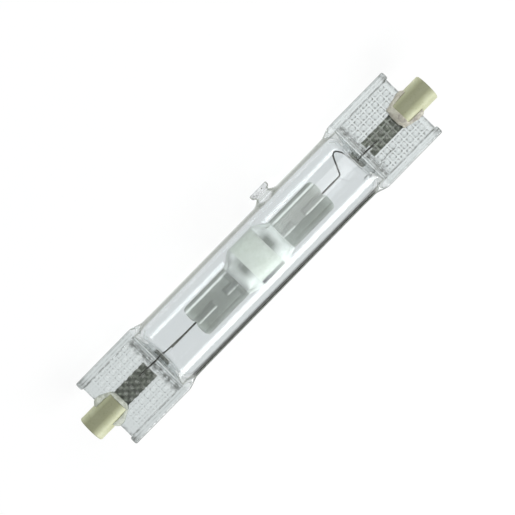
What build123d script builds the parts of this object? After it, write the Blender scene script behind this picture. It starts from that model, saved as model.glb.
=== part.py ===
from build123d import *
from math import asin, atan2, cos, hypot, radians, sin
import os

# Double-ended metal halide lamp: an arc tube hung inside a quartz bulb that is pinched flat at both ends.
# X is the lamp axis and Z is up. The origin is the light centre, midway between the two end contacts.
# The lamp lies as it comes to rest, on the bulb's lowest line and on the rim of its exhaust stub.
# Left is the -X end, which has the stub and the expansion bend. Right is the +X end.
# A distance along the axis is counted from the origin outwards, so it is positive at both ends.

# Outer bulb
bulb_diameter = 21.7
bulb_wall = 1.3
shoulder_length = 4.4
shoulder_wall = 1.0
flare_length = 4.9
flare_start_width = 20.6
cavity_lip = 0.5

# Outer pinch, an I section that is pressed flat out of the bulb's own tube
pinch_width = 24.0
rail_width = 2.4
rail_thickness = 4.4
rail_corner = 1.1
rail_overrun = 0.6
rail_end_chamfer = 0.45
plate_thickness = 2.6
plate_length = 20.5
plate_setback = 5.1
rib_width = 0.7
rib_setback = 0.6
rib_height = 0.45
tongue_width = 6.4
tongue_length = 2.4

# Grid of small square pads that the pinching jaws press into both faces
pad_size = 1.4
pad_pitch = 2.3
pad_height = 0.18
pad_rows = 7
pad_columns = {"left": 7, "right": 6}
pad_setback = {"left": 10.9, "right": 10.2}

# Exhaust stub on the side of the bulb, in the plane of the pinches
stub_position = 13.5
stub_height = 3.1
stub_foot_radius = 3.0
stub_foot_depth = 1.0
stub_foot_fillet = 1.2
stub_neck_radius = 2.35
stub_neck_height = 1.2
stub_lip_radius = 3.1
stub_lip_height = 1.75
stub_rim_radius = 3.3
stub_rim_chamfer = 0.2
stub_dimple_radius = 2.2
stub_dimple = 0.6

# Ceramic end caps and their contacts
contact_span = 132.0
contact_recess = 1.7
cap_diameter = 8.3
cap_length = 11.2
cap_cheek_diameter = 7.9
cap_edge = 0.3
recess_diameter = 4.6
contact_diameter = 3.9
contact_clearance = 0.05
contact_thickness = 1.1
contact_edge = 0.3
lead_hole_diameter = 1.6
slot_clearance = 0.4
tongue_clearance = 0.25

# Cement that holds each cap to its pinch
bead_length = {"left": 2.4, "right": 1.3}
bead_diameter = {"left": 8.9, "right": 8.1}
bead_tip_diameter = 5.2
collar_width = {"left": 10.1, "right": 10.8}
collar_reach = {"left": 6.4, "right": 4.9}
collar_taper = 1.6
collar_overrun = 1.35
collar_height = 5.2
collar_rim_height = 3.4

# Molybdenum foils and the wires that are welded to them
foil_thickness = 0.05
outer_foil_width = 5.7
outer_foil_length = 15.2
outer_foil_setback = {"left": 2.8, "right": 3.4}
outer_foil_shift = {"left": 0.5, "right": 0.0}
outer_lead_diameter = 0.7
outer_lead_overlap = 1.6
inner_lead_diameter = 0.5
inner_lead_overlap = 3.6
inner_lead_clearance = 2.5
right_lead_shift = -0.85
left_arc_lead_reach = 4.6
right_arc_lead_setback = 5.2

# Expansion bend in the left inner lead
bend_length = 7.8
bend_peak_setback = 4.5
bend_peak_height = 7.0
bend_foot_radius = 1.0
bend_peak_radius = 1.1
bend_far_radius = 1.4

# Arc tube, its coated ends, foils, leads and electrodes
barrel_diameter = 14.4
barrel_wall = 1.3
barrel_straight_half = 4.2
barrel_shoulder_length = 4.9
barrel_shift = -0.6
barrel_end_wall = 1.5
barrel_cavity_end_width = 7.0
barrel_cavity_end_height = 0.9
blade_width = 10.4
blade_thickness = 3.4
blade_plate_thickness = 2.3
blade_rail_width = 1.2
blade_corner = 0.8
blade_reach = 25.8
blade_end_chamfer = 0.5
blade_notch_radius = 0.9
blade_notch_depth = 0.6
boss_width = 2.4
boss_height = 0.45
inner_boss_length = 4.5
outer_boss_length = 8.0
coat_thickness = 0.15
arc_foil_width = 4.6
arc_foil_inner_setback = 2.3
arc_foil_outer_setback = 4.2
arc_lead_diameter = 0.6
arc_lead_overlap = 3.2
electrode_diameter = 0.7
electrode_overlap = 2.7
arc_gap = 8.6
coil_wire_diameter = 0.36
coil_pitch = 0.4
coil_turns = 5
coil_setback = 0.5
coil_clearance = 0.03

# Charge inside the arc tube
mercury_radius = 0.8
mercury_sink = 0.15
mercury_position = 2.4
salt_position = -1.6
salt_length = 4.4
salt_width = 3.2
salt_height = 0.45
salt_crown_share = 0.5

# Sizes and places that follow from those above
bulb_radius = bulb_diameter / 2
cavity_radius = bulb_radius - bulb_wall
contact_face = contact_span / 2
plate_end = contact_face - plate_setback
pinch_start = plate_end - plate_length
bulb_straight_half = pinch_start - shoulder_length
rail_end = plate_end + rail_overrun
pad_centre = {end: pinch_start + setback for end, setback in pad_setback.items()}
outer_foil_start = {end: pinch_start + setback for end, setback in outer_foil_setback.items()}
bend_start = pinch_start - bend_length
bend_peak_at = pinch_start - bend_peak_setback
plate_half = plate_thickness / 2
pocket_width = pinch_width - 2 * rail_width
tongue_end = plate_end + tongue_length
tongue_pocket_end = tongue_end + tongue_clearance
contact_back = contact_face - contact_thickness
cap_face = contact_face + contact_recess
cap_inner_end = cap_face - cap_length
cap_land_start = plate_end + collar_overrun
slot_end = plate_end + slot_clearance
slot_height = plate_thickness + 2 * slot_clearance
barrel_radius = barrel_diameter / 2
barrel_cavity_radius = barrel_radius - barrel_wall
blade_start = barrel_straight_half + barrel_shoulder_length
blade_plate_half = blade_plate_thickness / 2
arc_foil_start = blade_start + arc_foil_inner_setback
arc_foil_end = blade_reach - arc_foil_outer_setback
arc_foil_length = arc_foil_end - arc_foil_start
inner_boss_reach = blade_start + inner_boss_length
outer_boss_start = blade_reach - outer_boss_length
inner_lead_start = blade_reach + inner_lead_clearance
arc_lead_end = {"left": blade_reach + left_arc_lead_reach, "right": pinch_start - right_arc_lead_setback}
electrode_tip = arc_gap / 2

# The lamp is rolled about its axis until one level plane touches both the bulb and the stub's rim
rim_height = bulb_radius + stub_height - stub_rim_chamfer
rest_roll = asin(bulb_radius / hypot(rim_height, stub_rim_radius)) - atan2(stub_rim_radius, rim_height)

# Plane through the middle of the pinches, the foils and the stub, which points along its -Y
flat = Plane(origin=(0, 0, 0), x_dir=(1, 0, 0), z_dir=(0, -sin(rest_roll), cos(rest_roll)))
side_view = Plane(origin=(0, 0, 0), x_dir=(1, 0, 0), z_dir=flat.y_dir)
ends = {"left": -1, "right": 1}


def across(side, distance):
    """Plane square to the lamp axis, facing outwards, with its own X along the pinch."""
    return Plane(origin=(side * distance, 0, 0), x_dir=flat.y_dir, z_dir=(side, 0, 0))


def outer_face(part, side):
    return part.faces().sort_by(Axis.X)[-1 if side > 0 else 0]


def pressed_tube(radius, straight_half, shoulder, end_height, end_width=None, shift=0):
    """A round tube whose two ends are pressed flat: it is rounded off in the side view and tapers in the plan."""
    reach = straight_half + shoulder
    with BuildPart() as tube:
        with BuildSketch(across(-1, reach)):
            with Locations((shift, 0)):
                Circle(radius)
        extrude(amount=-2 * reach)
        with BuildSketch(side_view):
            Rectangle(2 * straight_half, 2 * radius)
            Rectangle(2 * reach, end_height)
            with GridLocations(2 * straight_half, end_height, 2, 2):
                Ellipse(shoulder, radius - end_height / 2)
        extrude(amount=2 * radius, both=True, mode=Mode.INTERSECT)
        if end_width:
            with BuildSketch(flat):
                Polygon(
                    (-straight_half, radius + shift),
                    (straight_half, radius + shift),
                    (reach, end_width / 2),
                    (reach, -end_width / 2),
                    (straight_half, shift - radius),
                    (-straight_half, shift - radius),
                    (-reach, -end_width / 2),
                    (-reach, end_width / 2),
                    align=None,
                )
            extrude(amount=2 * radius, both=True, mode=Mode.INTERSECT)
    return tube.part


def straight_wire(diameter, start, end):
    """A wire of round section between two points that are given in the plane of the pinches."""
    first, last = flat.from_local_coords(Vector(*start)), flat.from_local_coords(Vector(*end))
    with BuildPart() as wire:
        with BuildSketch(Plane(origin=first, z_dir=last - first)):
            Circle(diameter / 2)
        extrude(amount=(last - first).length)
    return wire.part


def foil_strip(side, start, length, width, shift=0):
    with BuildPart() as strip:
        with BuildSketch(flat.offset(-foil_thickness / 2)):
            with Locations((side * (start + length / 2), shift)):
                Rectangle(length, width)
        extrude(amount=foil_thickness)
    return strip.part


def write(part, name):
    part.label = name
    export_step(part, f"parts/{name}.step")


os.makedirs("parts", exist_ok=True)

# Outer sealing foils
outer_foils = {}
for end, side in ends.items():
    start, shift = outer_foil_start[end], outer_foil_shift[end]
    outer_foils[end] = foil_strip(side, start, outer_foil_length, outer_foil_width, shift)
    write(outer_foils[end], f"outer_foil_{end}")

# Outer leads, from the outer end of each foil to the back of the contact
outer_leads = {}
for end, side in ends.items():
    height = outer_lead_diameter / 2
    start = outer_foil_start[end] + outer_foil_length - outer_lead_overlap
    whole_lead = straight_wire(outer_lead_diameter, (side * start, 0, height), (side * contact_back, 0, height))
    with BuildPart() as outer_lead:
        add(whole_lead)
        add(outer_foils[end], mode=Mode.SUBTRACT)
    outer_leads[end] = outer_lead.part
    write(outer_lead.part, f"outer_lead_{end}")

# Inner leads, from the inner end of each foil to the weld on the arc tube's own lead
lead_height = inner_lead_diameter / 2
with BuildPart() as inner_lead_left:
    with BuildLine(flat.offset(lead_height)) as route:
        FilletPolyline(
            (-inner_lead_start, 0),
            (-bend_start, 0),
            (-bend_peak_at, -bend_peak_height),
            (-pinch_start, outer_foil_shift["left"]),
            (-(outer_foil_start["left"] + inner_lead_overlap), outer_foil_shift["left"]),
            radius=(bend_foot_radius, bend_peak_radius, bend_far_radius),
        )
    with BuildSketch(Plane(origin=route.line @ 0, z_dir=route.line % 0)):
        Circle(inner_lead_diameter / 2)
    sweep(path=route.line)
    add(outer_foils["left"], mode=Mode.SUBTRACT)
write(inner_lead_left.part, "inner_lead_left")

straight_lead = straight_wire(
    inner_lead_diameter,
    (outer_foil_start["right"] + inner_lead_overlap, right_lead_shift, lead_height),
    (inner_lead_start, 0, lead_height),
)
with BuildPart() as inner_lead_right:
    add(straight_lead)
    add(outer_foils["right"], mode=Mode.SUBTRACT)
write(inner_lead_right.part, "inner_lead_right")
inner_leads = {"left": inner_lead_left.part, "right": inner_lead_right.part}

# Pinches of the outer bulb
pinches = {}
for end, side in ends.items():
    length = rail_end - pinch_start
    with BuildPart() as pinch:
        with BuildSketch(across(side, pinch_start)):
            RectangleRounded(pinch_width, rail_thickness, rail_corner)
        extrude(amount=length)
        chamfer(outer_face(pinch, side).edges(), rail_end_chamfer)
        with BuildSketch(across(side, pinch_start)):
            RectangleRounded(pinch_width, rail_thickness, rail_corner)
        with BuildSketch(across(side, pinch_start - flare_length)):
            RectangleRounded(flare_start_width, rail_thickness, rail_corner)
        loft(ruled=True)
        for face in (-1, 1):
            with BuildSketch(flat.offset(face * plate_half)):
                with Locations((side * (pinch_start + length), 0)):
                    Rectangle(2 * (length - rib_width), pocket_width)
            extrude(amount=face * rail_thickness, mode=Mode.SUBTRACT)
        with BuildSketch(flat.offset(-plate_half)):
            with Locations((side * (plate_end + rail_overrun), 0)):
                Rectangle(2 * rail_overrun, pocket_width)
        extrude(amount=plate_thickness, mode=Mode.SUBTRACT)
        with BuildSketch(flat.offset(-plate_half)):
            with Locations((side * plate_end, 0)):
                Rectangle(2 * tongue_length, tongue_width)
        extrude(amount=plate_thickness)
        for face in (-1, 1):
            with BuildSketch(flat.offset(face * plate_half)):
                with Locations((side * pad_centre[end], 0)):
                    with GridLocations(pad_pitch, pad_pitch, pad_columns[end], pad_rows):
                        Rectangle(pad_size, pad_size)
            extrude(amount=face * pad_height)
            with BuildSketch(flat.offset(face * plate_half)):
                with Locations((side * (pinch_start + rib_width + rib_setback + rib_width / 2), 0)):
                    Rectangle(rib_width, pocket_width)
            extrude(amount=face * rib_height)
    pinches[end] = pinch.part

# Outside and hollow of the outer bulb's tube
bulb_tube = pressed_tube(bulb_radius, bulb_straight_half, shoulder_length, rail_thickness)
bulb_cavity = pressed_tube(cavity_radius, bulb_straight_half, shoulder_length - shoulder_wall, cavity_lip)

# Exhaust stub
stub_plane = Plane(origin=(-stub_position, 0, 0), x_dir=(1, 0, 0), z_dir=-flat.z_dir)
with BuildPart() as stub:
    with BuildSketch(stub_plane):
        with BuildLine():
            Polyline(
                (0, bulb_radius - stub_foot_depth),
                (stub_foot_radius, bulb_radius - stub_foot_depth),
                (stub_neck_radius, bulb_radius + stub_neck_height),
                (stub_lip_radius, bulb_radius + stub_lip_height),
                (stub_rim_radius, rim_height),
                (stub_rim_radius - stub_rim_chamfer, bulb_radius + stub_height),
                (stub_dimple_radius, bulb_radius + stub_height),
                (0, bulb_radius + stub_height - stub_dimple),
                close=True,
            )
        make_face()
    revolve(axis=Axis(stub_plane.origin, stub_plane.y_dir))

# Outer bulb: one quartz tube with its stub, pinched flat at both ends
with BuildPart() as outer_bulb:
    add(bulb_tube)
    add(stub.part)
    fillet(outer_bulb.edges(Select.NEW), stub_foot_fillet)
    for pinch_part in pinches.values():
        add(pinch_part)
    for hollow in (bulb_cavity, *outer_foils.values(), *outer_leads.values(), *inner_leads.values()):
        add(hollow, mode=Mode.SUBTRACT)
write(outer_bulb.part, "outer_bulb")

# Ceramic end caps: a round plug with two cheeks that straddle the pinch
end_caps = {}
for end, side in ends.items():
    with BuildPart() as end_cap:
        with BuildSketch(across(side, cap_land_start)):
            Circle(cap_diameter / 2)
        extrude(amount=cap_face - cap_land_start)
        chamfer(outer_face(end_cap, side).edges(), cap_edge)
        with BuildSketch(across(side, cap_land_start)):
            Circle(cap_diameter / 2)
        with BuildSketch(across(side, cap_inner_end)):
            Circle(cap_cheek_diameter / 2)
        loft()
        with BuildSketch(across(side, cap_inner_end)):
            Rectangle(2 * cap_diameter, slot_height)
        extrude(amount=slot_end - cap_inner_end, mode=Mode.SUBTRACT)
        with BuildSketch(across(side, slot_end)):
            Rectangle(tongue_width + 2 * tongue_clearance, slot_height)
        extrude(amount=tongue_pocket_end - slot_end, mode=Mode.SUBTRACT)
        with BuildSketch(across(side, tongue_pocket_end)):
            Circle(lead_hole_diameter / 2)
        extrude(amount=contact_back - tongue_pocket_end, mode=Mode.SUBTRACT)
        with BuildSketch(across(side, contact_back)):
            Circle(contact_diameter / 2 + contact_clearance)
        extrude(amount=contact_thickness, mode=Mode.SUBTRACT)
        with BuildSketch(across(side, contact_face)):
            Circle(recess_diameter / 2)
        extrude(amount=contact_recess, mode=Mode.SUBTRACT)
    end_caps[end] = end_cap.part
    write(end_cap.part, f"end_cap_{end}")

# Contact button at the bottom of each cap's recess
for end, side in ends.items():
    with BuildPart() as contact:
        with BuildSketch(across(side, contact_back)):
            Circle(contact_diameter / 2)
        extrude(amount=contact_thickness)
        chamfer(outer_face(contact, side).edges(), contact_edge)
    write(contact.part, f"contact_{end}")

# Cement: it fills the slot round the pinch, and swells out at the cheeks' ends and beside the cap
for end, side in ends.items():
    fill_length = tongue_pocket_end - cap_inner_end
    with BuildPart() as slot_fill:
        with BuildSketch(across(side, cap_inner_end)):
            Circle(cap_cheek_diameter / 2)
        extrude(amount=fill_length)
        with BuildSketch(across(side, cap_inner_end)):
            Rectangle(2 * cap_diameter, slot_height)
        extrude(amount=fill_length, mode=Mode.INTERSECT)
    with BuildPart() as bead:
        with BuildSketch(flat):
            with BuildLine():
                base, tip = side * cap_inner_end, side * (cap_inner_end - bead_length[end])
                belly = (bead_diameter[end] + bead_tip_diameter) / 4
                Polyline(
                    (base, 0),
                    (base, bead_diameter[end] / 2),
                    ((base + 2 * tip) / 3, belly),
                    (tip, bead_tip_diameter / 2),
                    (tip, 0),
                    close=True,
                )
            make_face()
        revolve(axis=Axis.X)
    with BuildPart() as collar:
        first, last = plate_end - collar_reach[end], cap_land_start
        with BuildSketch(flat):
            Polygon(
                (side * first, 0),
                (side * first, cap_cheek_diameter / 2),
                (side * (plate_end - collar_taper), collar_width[end] / 2),
                (side * plate_end, collar_width[end] / 2),
                (side * last, cap_diameter / 2),
                (side * last, 0),
                align=None,
            )
        revolve(axis=Axis.X)
        with BuildSketch(across(side, first)):
            Polygon(
                (collar_width[end] / 2, collar_rim_height / 2),
                (cap_cheek_diameter / 2, collar_height / 2),
                (-cap_cheek_diameter / 2, collar_height / 2),
                (-collar_width[end] / 2, collar_rim_height / 2),
                (-collar_width[end] / 2, -collar_rim_height / 2),
                (-cap_cheek_diameter / 2, -collar_height / 2),
                (cap_cheek_diameter / 2, -collar_height / 2),
                (collar_width[end] / 2, -collar_rim_height / 2),
                align=None,
            )
        extrude(amount=last - first, mode=Mode.INTERSECT)
    with BuildPart() as cap_cement:
        add(slot_fill.part)
        add(bead.part)
        add(collar.part)
        for neighbour in (end_caps[end], outer_bulb.part, outer_leads[end], outer_foils[end]):
            add(neighbour, mode=Mode.SUBTRACT)
    write(cap_cement.part, f"cap_cement_{end}")

# Arc tube's foils, leads and electrodes
arc_foils, arc_leads, electrode_rods = {}, {}, {}
for end, side in ends.items():
    arc_foils[end] = foil_strip(side, arc_foil_start, arc_foil_length, arc_foil_width)
    write(arc_foils[end], f"arc_foil_{end}")

    height = -arc_lead_diameter / 2
    start = arc_foil_end - arc_lead_overlap
    whole_lead = straight_wire(arc_lead_diameter, (side * start, 0, height), (side * arc_lead_end[end], 0, height))
    with BuildPart() as arc_lead:
        add(whole_lead)
        add(arc_foils[end], mode=Mode.SUBTRACT)
    arc_leads[end] = arc_lead.part
    write(arc_lead.part, f"arc_lead_{end}")

    height = electrode_diameter / 2
    last = arc_foil_start + electrode_overlap
    whole_rod = straight_wire(electrode_diameter, (side * electrode_tip, 0, height), (side * last, 0, height))
    with BuildPart() as electrode_rod:
        add(whole_rod)
        add(arc_foils[end], mode=Mode.SUBTRACT)
    electrode_rods[end] = electrode_rod.part
    write(electrode_rod.part, f"electrode_rod_{end}")

    coil_bore = electrode_diameter / 2 + coil_clearance
    coil_valley, coil_crest = coil_bore + coil_wire_diameter / 2, coil_bore + coil_wire_diameter
    coil_start = electrode_tip + coil_setback
    turns = [(side * coil_start, coil_bore), (side * coil_start, coil_valley)]
    for turn in range(coil_turns):
        turns.append((side * (coil_start + coil_pitch * (turn + 1 / 2)), coil_crest))
        turns.append((side * (coil_start + coil_pitch * (turn + 1)), coil_valley))
    turns.append((side * (coil_start + coil_pitch * coil_turns), coil_bore))
    with BuildPart() as electrode_coil:
        with BuildSketch(flat.offset(height)):
            Polygon(*turns, align=None)
        revolve(axis=Axis(flat.from_local_coords(Vector(0, 0, height)), (1, 0, 0)))
    write(electrode_coil.part, f"electrode_coil_{end}")

# Blades of the arc tube
blades = {}
for end, side in ends.items():
    length = blade_reach - blade_start
    with BuildPart() as blade:
        with BuildSketch(across(side, blade_start)):
            RectangleRounded(blade_width, blade_thickness, blade_corner)
        extrude(amount=length)
        chamfer(outer_face(blade, side).edges(), blade_end_chamfer)
        for face in (-1, 1):
            with BuildSketch(flat.offset(face * blade_plate_half)):
                with Locations((side * (blade_start + length / 2), 0)):
                    Rectangle(length - 2 * blade_rail_width, blade_width - 2 * blade_rail_width)
            extrude(amount=face * blade_thickness, mode=Mode.SUBTRACT)
            with BuildSketch(flat.offset(face * blade_plate_half)):
                with Locations((side * (blade_start + inner_boss_reach) / 2, 0)):
                    SlotOverall(inner_boss_reach - blade_start + boss_width, boss_width)
                with Locations((side * (outer_boss_start + blade_reach - blade_rail_width) / 2, 0)):
                    SlotOverall(blade_reach - blade_rail_width - outer_boss_start, boss_width)
                with Locations((side * (blade_start + length / 2), 0)):
                    Rectangle(length - blade_rail_width, boss_width, mode=Mode.INTERSECT)
            extrude(amount=face * boss_height)
        with BuildSketch(flat.offset(-blade_thickness)):
            with Locations((side * (blade_reach + blade_notch_radius - blade_notch_depth), 0)):
                Circle(blade_notch_radius)
        extrude(amount=2 * blade_thickness, mode=Mode.SUBTRACT)
    blades[end] = blade.part

# Outside and hollow of the arc tube's barrel
barrel = pressed_tube(
    barrel_radius,
    barrel_straight_half,
    barrel_shoulder_length,
    blade_thickness,
    end_width=blade_width,
    shift=barrel_shift,
)
arc_cavity = pressed_tube(
    barrel_cavity_radius,
    barrel_straight_half,
    barrel_shoulder_length - barrel_end_wall,
    barrel_cavity_end_height,
    end_width=barrel_cavity_end_width,
    shift=barrel_shift,
)

# Arc tube: a quartz barrel with a flat blade pressed at each end
with BuildPart() as arc_tube:
    add(barrel)
    for blade_part in blades.values():
        add(blade_part)
    for hollow in (arc_cavity, *arc_foils.values(), *arc_leads.values(), *electrode_rods.values()):
        add(hollow, mode=Mode.SUBTRACT)
write(arc_tube.part, "arc_tube")

# White heat-reflecting coat on each shoulder of the arc tube
coated_barrel = pressed_tube(
    barrel_radius + coat_thickness,
    barrel_straight_half,
    barrel_shoulder_length,
    blade_thickness + 2 * coat_thickness,
    end_width=blade_width + 2 * coat_thickness,
    shift=barrel_shift,
)
for end, side in ends.items():
    with BuildPart() as end_coat:
        add(coated_barrel)
        with BuildSketch(across(side, barrel_straight_half)):
            Rectangle(3 * barrel_diameter, 3 * barrel_diameter)
        extrude(amount=barrel_shoulder_length, mode=Mode.INTERSECT)
        for inside in (barrel, blades[end]):
            add(inside, mode=Mode.SUBTRACT)
    write(end_coat.part, f"end_coat_{end}")

# Charge: a bead of mercury and a patch of halide salt on the barrel's lowest wall
barrel_centre = flat.from_local_coords(Vector(0, barrel_shift, 0))
wall_height = barrel_centre.Z - barrel_cavity_radius
with BuildPart() as mercury_bead:
    with Locations((mercury_position, barrel_centre.Y, wall_height + mercury_radius - mercury_sink)):
        Sphere(mercury_radius)
    add(arc_cavity, mode=Mode.INTERSECT)
write(mercury_bead.part, "mercury_bead")

with BuildPart() as halide_salt:
    with BuildSketch(Plane(origin=(salt_position, barrel_centre.Y, wall_height - salt_height))):
        Ellipse(salt_length / 2, salt_width / 2)
    with BuildSketch(Plane(origin=(salt_position, barrel_centre.Y, wall_height + salt_height))):
        Ellipse(salt_length / 2 * salt_crown_share, salt_width / 2 * salt_crown_share)
    loft()
    add(arc_cavity, mode=Mode.INTERSECT)
write(halide_salt.part, "halide_salt")
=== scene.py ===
import math

import bmesh
import bpy
from mathutils import Matrix, Vector, noise


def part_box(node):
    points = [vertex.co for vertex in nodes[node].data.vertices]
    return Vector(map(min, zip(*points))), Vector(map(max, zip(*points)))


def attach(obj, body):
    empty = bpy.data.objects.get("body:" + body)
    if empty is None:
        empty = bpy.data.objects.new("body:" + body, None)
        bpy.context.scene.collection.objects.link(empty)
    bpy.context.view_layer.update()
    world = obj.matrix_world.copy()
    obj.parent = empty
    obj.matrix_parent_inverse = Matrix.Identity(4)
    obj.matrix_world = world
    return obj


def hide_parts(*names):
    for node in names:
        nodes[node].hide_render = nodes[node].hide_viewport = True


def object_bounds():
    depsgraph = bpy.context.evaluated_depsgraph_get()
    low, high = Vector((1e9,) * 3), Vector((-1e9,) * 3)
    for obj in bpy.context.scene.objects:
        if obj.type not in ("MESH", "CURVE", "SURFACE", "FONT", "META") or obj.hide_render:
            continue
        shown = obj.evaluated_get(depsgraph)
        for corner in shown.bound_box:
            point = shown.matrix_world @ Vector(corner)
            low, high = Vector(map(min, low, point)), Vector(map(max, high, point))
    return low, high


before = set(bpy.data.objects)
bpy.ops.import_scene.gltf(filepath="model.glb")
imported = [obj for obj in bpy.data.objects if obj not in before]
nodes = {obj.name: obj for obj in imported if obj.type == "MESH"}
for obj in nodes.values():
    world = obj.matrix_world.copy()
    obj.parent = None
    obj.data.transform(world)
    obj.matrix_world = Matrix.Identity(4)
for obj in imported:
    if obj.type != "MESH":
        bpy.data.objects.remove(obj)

# Double-ended metal halide lamp: a quartz arc tube hung in a clear quartz bulb that is pinched at both ends.
# Lamp coordinates are in mm: x along the lamp, y across it in the plane of the pinches, z square to them.
# The -x end has the bent lead, and the exhaust stub stands on the -y side.

cadBox = [list(corner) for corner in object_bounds()]
mm = 0.001
ends = {"left": -1, "right": 1}

# The lamp lies on the bulb's side and on the stub's rim, which rolls it about its axis
rest = {"bulbRadius": 10.85, "rimHeight": 13.75, "rimRadius": 3.3}
lean = math.atan2(rest["rimRadius"], rest["rimHeight"])
roll = math.asin(rest["bulbRadius"] / math.hypot(rest["rimHeight"], rest["rimRadius"])) - lean


# Small helpers

def lampPoint(x, y, z):
    across = y * math.cos(roll) - z * math.sin(roll)
    up = y * math.sin(roll) + z * math.cos(roll)
    return Vector((x, across, up)) * mm


def lampCoordinates(point):
    x, across, up = point / mm
    return x, across * math.cos(roll) + up * math.sin(roll), up * math.cos(roll) - across * math.sin(roll)


def softMin(a, b, blend):
    reach = max(blend - abs(a - b), 0.0) / blend
    return min(a, b) - reach * reach * blend / 4


def ease(value, low, high):
    share = min(max((value - low) / (high - low), 0.0), 1.0)
    return share * share * (3 - 2 * share)


def plateau(distance, half, slope):
    return min(max((half + slope - abs(distance)) / (2 * slope), 0.0), 1.0)


def bump(value, middle, width):
    return math.exp(-((value - middle) / width) ** 2)


def addNode(tree, kind, inputs=None, stops=(), **settings):
    # A node given as an input's value links its first live output
    node = tree.nodes.new(kind)
    for key, value in settings.items():
        setattr(node, key, value)
    for key, value in (inputs or {}).items():
        if isinstance(value, bpy.types.Node):
            value = next(output for output in value.outputs if output.enabled)
        if isinstance(value, bpy.types.NodeSocket):
            tree.links.new(value, node.inputs[key])
        else:
            node.inputs[key].default_value = value
    for at, code in stops[2:]:
        node.color_ramp.elements.new(at)
    for element, (at, code) in zip(node.color_ramp.elements if stops else (), stops):
        element.position = at
        element.color = colour(code)
    return node


def colour(code):
    parts = [int(code[k:k + 2], 16) / 255 for k in (1, 3, 5)]
    return [p / 12.92 if p <= 0.04045 else ((p + 0.055) / 1.055) ** 2.4 for p in parts] + [1.0]


def newPiece(name, mesh, material, slotName, *replaced, sharp=38):
    mesh.polygons.foreach_set("use_smooth", [True] * len(mesh.polygons))
    mesh.set_sharp_from_angle(angle=math.radians(sharp))
    mesh.materials.clear()
    mesh.materials.append(material)
    piece = bpy.data.objects.new(name, mesh)
    bpy.context.scene.collection.objects.link(piece)
    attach(piece, "root")
    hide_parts(*replaced)
    return piece


def closedMesh(name, points, faces, inwards=False):
    mesh = bpy.data.meshes.new(name)
    mesh.from_pydata(points, [], faces)
    work = bmesh.new()
    work.from_mesh(mesh)
    bmesh.ops.remove_doubles(work, verts=work.verts, dist=0.002 * mm)
    bmesh.ops.recalc_face_normals(work, faces=work.faces)
    if inwards:
        bmesh.ops.reverse_faces(work, faces=work.faces)
    work.to_mesh(mesh)
    work.free()
    return mesh


def joined(name, *meshes):
    work = bmesh.new()
    for mesh in meshes:
        work.from_mesh(mesh)
    whole = bpy.data.meshes.new(name)
    work.to_mesh(whole)
    work.free()
    return whole


def settled(mesh, addModifiers):
    # Puts modifiers on a passing object and gives back the finished mesh
    carrier = bpy.data.objects.new("carrier", mesh)
    bpy.context.scene.collection.objects.link(carrier)
    helpers = addModifiers(carrier) or []
    result = bpy.data.meshes.new_from_object(carrier.evaluated_get(bpy.context.evaluated_depsgraph_get()))
    for used in [carrier] + helpers:
        bpy.data.objects.remove(used)
    return result


def mergedCopy(node):
    # A CAD node's mesh is loose triangles, so a copy of it is merged
    source = nodes[node].data
    points = [vertex.co.copy() for vertex in source.vertices]
    faces = [tuple(face.vertices) for face in source.polygons]
    mesh = bpy.data.meshes.new(node)
    mesh.from_pydata(points, [], faces)
    work = bmesh.new()
    work.from_mesh(mesh)
    bmesh.ops.remove_doubles(work, verts=work.verts, dist=0.001 * mm)
    work.to_mesh(mesh)
    work.free()
    return mesh


# Materials

def bareMaterial(name):
    material = bpy.data.materials.new(name)
    material.use_nodes = True
    material.node_tree.nodes.clear()
    return material, material.node_tree


def newMaterial(name):
    # With object coordinates in metres, turned back by the roll, so that y runs across the pinches
    material, tree = bareMaterial(name)
    place = addNode(tree, "ShaderNodeTexCoord").outputs["Object"]
    place = addNode(tree, "ShaderNodeMapping", {"Vector": place, "Rotation": (-roll, 0, 0)})
    return material, tree, place


def mask(tree, value, half, soft, middle=0.0):
    # 1 within half of the middle, then falling to 0 over the soft edge, in metres
    away = addNode(tree, "ShaderNodeMath", {0: value, 1: middle}, operation="SUBTRACT")
    away = addNode(tree, "ShaderNodeMath", {0: away}, operation="ABSOLUTE")
    return addNode(tree, "ShaderNodeMapRange", {
        "Value": away, "From Min": half, "From Max": half + soft, "To Min": 1.0, "To Max": 0.0})


def product(tree, first, *others):
    for other in others:
        first = addNode(tree, "ShaderNodeMath", {0: first, 1: other}, operation="MULTIPLY")
    return first


# How often light may turn before it counts as caught in the glass
caughtAfter = {"Ray Depth": 9.0, "Glossy Depth": 3.0}


def finishGlass(tree, shader):
    # Light passes straight through to what is inside, so the glass throws only a faint shadow. Light that is
    # caught in a corner of the glass leaves it as a pale glow
    path = addNode(tree, "ShaderNodeLightPath")
    passed = [addNode(tree, "ShaderNodeMath", {0: path.outputs[kind], 1: limit}, operation="GREATER_THAN")
              for kind, limit in caughtAfter.items()]
    caught = addNode(tree, "ShaderNodeMath", {0: passed[0], 1: passed[1]}, operation="MAXIMUM")
    glow = addNode(tree, "ShaderNodeEmission", {"Color": colour("#DDE1DF"), "Strength": 1.0})
    mix = addNode(tree, "ShaderNodeMixShader", {0: caught, 1: shader, 2: glow})
    clear = addNode(tree, "ShaderNodeBsdfTransparent", {"Color": colour("#F1F4F2")})
    mix = addNode(tree, "ShaderNodeMixShader", {0: path.outputs["Is Shadow Ray"], 1: mix, 2: clear})
    addNode(tree, "ShaderNodeOutputMaterial", {"Surface": mix})


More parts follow.
